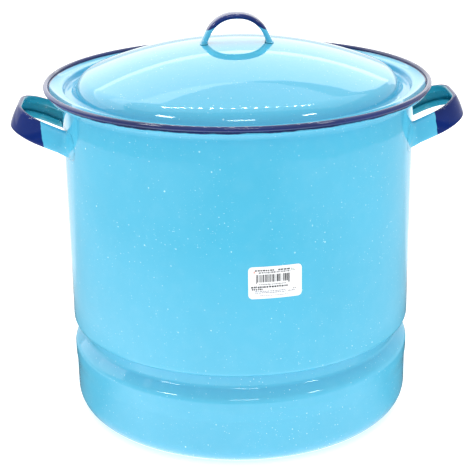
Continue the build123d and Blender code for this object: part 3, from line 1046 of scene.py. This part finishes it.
class CANNER_OT_stage(bpy.types.Operator):
    """Set up the floor, the light and the camera"""

    bl_idname = "canner.stage"
    bl_label = "Stage"

    def lamp(self, name, place, aim, wide, tall, power, only_highlight=True):
        """An area lamp. A lamp that is only a highlight shows in the glaze but adds no other light."""
        data = bpy.data.lights.new(name, "AREA")
        data.shape = "RECTANGLE"
        data.size = wide
        data.size_y = tall
        data.energy = power
        lamp = bpy.data.objects.new(name, data)
        bpy.context.scene.collection.objects.link(lamp)
        lamp.location = place
        lamp.rotation_euler = (Vector(aim) - Vector(place)).to_track_quat("-Z", "Y").to_euler()
        lamp.visible_camera = False
        lamp.visible_diffuse = not only_highlight
        return lamp

    def execute(self, context):
        self.surfaces()
        self.world()
        self.lamps(context.scene.canner_stage)
        self.camera(context.scene.canner_stage)
        context.scene.view_settings.view_transform = "Standard"
        return {"FINISHED"}

    def surface(self, name, points, material):
        """One flat face of the stage."""
        mesh = bpy.data.meshes.new(name)
        mesh.from_pydata(points, [], [tuple(range(len(points)))])
        mesh.materials.append(material)
        surface = bpy.data.objects.new(name, mesh)
        bpy.context.scene.collection.objects.link(surface)
        return surface

    def surfaces(self):
        """The floor, and the lit table round the pot, which shows only in the glaze."""
        reach = 12.0
        square = [(-reach, -reach, 0), (reach, -reach, 0), (reach, reach, 0), (-reach, reach, 0)]
        floor = self.surface("floor", square, floor_material("floor_paper"))
        floor.visible_glossy = False
        turns = [2 * math.pi * step / 64 for step in range(64)]
        disc = [(1.2 * math.cos(turn), 1.2 * math.sin(turn), 0.6 * MM) for turn in turns]
        glow = self.surface("table_glow", disc, glow_material("table_light"))
        glow.visible_camera = False
        glow.visible_diffuse = False
        glow.visible_shadow = False

    def world(self):
        """White above the horizon. Below it, bright only straight behind the pot."""
        world = bpy.data.worlds.new("studio")
        bpy.context.scene.world = world
        world.use_nodes = True
        nodes, links = world.node_tree.nodes, world.node_tree.links
        background = nodes["Background"]
        where = nodes.new("ShaderNodeTexCoord")
        split = nodes.new("ShaderNodeSeparateXYZ")
        links.new(where.outputs["Generated"], split.inputs[0])

        def mapped(axis, from_low, from_high, to_low, to_high):
            node = nodes.new("ShaderNodeMapRange")
            links.new(split.outputs[axis], node.inputs[0])
            for socket, value in zip(node.inputs[1:], (from_low, from_high, to_low, to_high)):
                socket.default_value = value
            return node.outputs[0]

        behind = mapped("Y", 0.74, 0.82, 0.30, 1.5)
        level = mapped("Z", -0.13, -0.05, 0.0, 1.0)
        blend = nodes.new("ShaderNodeMix")
        links.new(level, blend.inputs[0])
        links.new(behind, blend.inputs[2])
        blend.inputs[3].default_value = 1.0
        links.new(blend.outputs[0], background.inputs["Color"])
        background.inputs["Strength"].default_value = 1.0

    def lamps(self, stage):
        """Two rows of small lamps, one larger on either side, the softboxes and the windows."""
        over_lid = (0, 0, 0.37)
        for number in range(stage.lamp_count):
            across = number / (stage.lamp_count - 1) * 2 - 1
            place = (0.78 * across, 0.7 - 0.2 * across**2, 2.1)
            self.lamp(f"overhead_{number}", place, (place[0], place[1], 0), 0.022, 0.16, 0.8)
        for number in range(8):
            self.lamp(f"front_{number}", (-0.42 + 0.11 * number, -2.3, 2.2), over_lid, 0.07, 0.24, 1.7)
        self.lamp("left_lamp", (-2.02, -1.19, 2.13), over_lid, 0.6, 0.30, 17)
        self.lamp("right_lamp", (1.88, -1.42, 2.13), over_lid, 0.45, 0.30, 10)
        self.lamp("softbox", (-1.0, 2.27, 2.28), over_lid, 8.0, 1.4, 52)
        self.lamp("low_softbox", (-1.0, 2.88, 1.2), over_lid, 9.0, 1.33, 36)
        self.lamp("top_light", (0, 0.75, 2.3), (0, 0.75, 0), 4.5, 2.1, 24, False)
        for name, place, wide, power in (("left_window", (-2.2, -1.6, 1.4), 0.5, 3.5),
                                         ("right_window", (2.3, -1.2, 1.2), 0.4, 2.5)):
            window = self.lamp(name, place, (0, 0, 0.2), wide, 1.2, power, False)
            window.visible_glossy = False

    def camera(self, stage):
        """The camera, at the height and the tilt that the sizes give."""
        data = bpy.data.cameras.new("camera")
        data.sensor_width = 36
        data.lens = stage.lens
        camera = bpy.data.objects.new("camera", data)
        bpy.context.scene.collection.objects.link(camera)
        pitch, yaw, roll = stage.camera_pitch, stage.camera_yaw, stage.camera_roll
        ahead = Vector((math.sin(yaw) * math.cos(pitch), math.cos(yaw) * math.cos(pitch), -math.sin(pitch)))
        right = Vector((math.cos(yaw), -math.sin(yaw), 0))
        up = right.cross(ahead)
        level_right = right * math.cos(roll) + up * math.sin(roll)
        level_up = up * math.cos(roll) - right * math.sin(roll)
        axes = Matrix((level_right, level_up, -ahead)).transposed().to_4x4()
        place = Matrix.Translation((0, -stage.camera_distance, stage.camera_height))
        camera.matrix_world = Matrix.Rotation(-stage.camera_side, 4, "Z") @ place @ axes
        data.clip_start = 0.05
        data.clip_end = 60
        bpy.context.scene.camera = camera


class CANNER_PT_panel(bpy.types.Panel):
    """The canner's pieces and sizes"""

    bl_label = "Water Bath Canner"
    bl_idname = "CANNER_PT_panel"
    bl_space_type = "VIEW_3D"
    bl_region_type = "UI"
    bl_category = "Canner"

    def draw(self, context):
        for group in ("canner_pot", "canner_lid", "canner_finish", "canner_stage"):
            values = getattr(context.scene, group)
            box = self.layout.box()
            for key in values.__annotations__:
                box.prop(values, key)
        for step in STEPS:
            self.layout.operator(step.bl_idname)


GROUPS = {
    "canner_pot": CannerPotSizes,
    "canner_lid": CannerLidSizes,
    "canner_finish": CannerFinish,
    "canner_stage": CannerStage,
}
STEPS = (
    CANNER_OT_pot_shell,
    CANNER_OT_side_handles,
    CANNER_OT_label,
    CANNER_OT_lid_shell,
    CANNER_OT_lid_handle,
    CANNER_OT_plate,
    CANNER_OT_rack,
    CANNER_OT_stage,
)


def register():
    for name, group in GROUPS.items():
        bpy.utils.register_class(group)
        setattr(bpy.types.Scene, name, PointerProperty(type=group))
    for cls in (*STEPS, CANNER_PT_panel):
        bpy.utils.register_class(cls)


def unregister():
    for cls in (CANNER_PT_panel, *reversed(STEPS)):
        bpy.utils.unregister_class(cls)
    for name, group in GROUPS.items():
        delattr(bpy.types.Scene, name)
        bpy.utils.unregister_class(group)


def main():
    register()
    bpy.ops.canner.pot_shell()
    bpy.ops.canner.side_handles()
    bpy.ops.canner.label()
    bpy.ops.canner.lid_shell()
    bpy.ops.canner.lid_handle()
    bpy.ops.canner.plate()
    bpy.ops.canner.rack()
    bpy.ops.canner.stage()


if __name__ == "__main__":
    main()
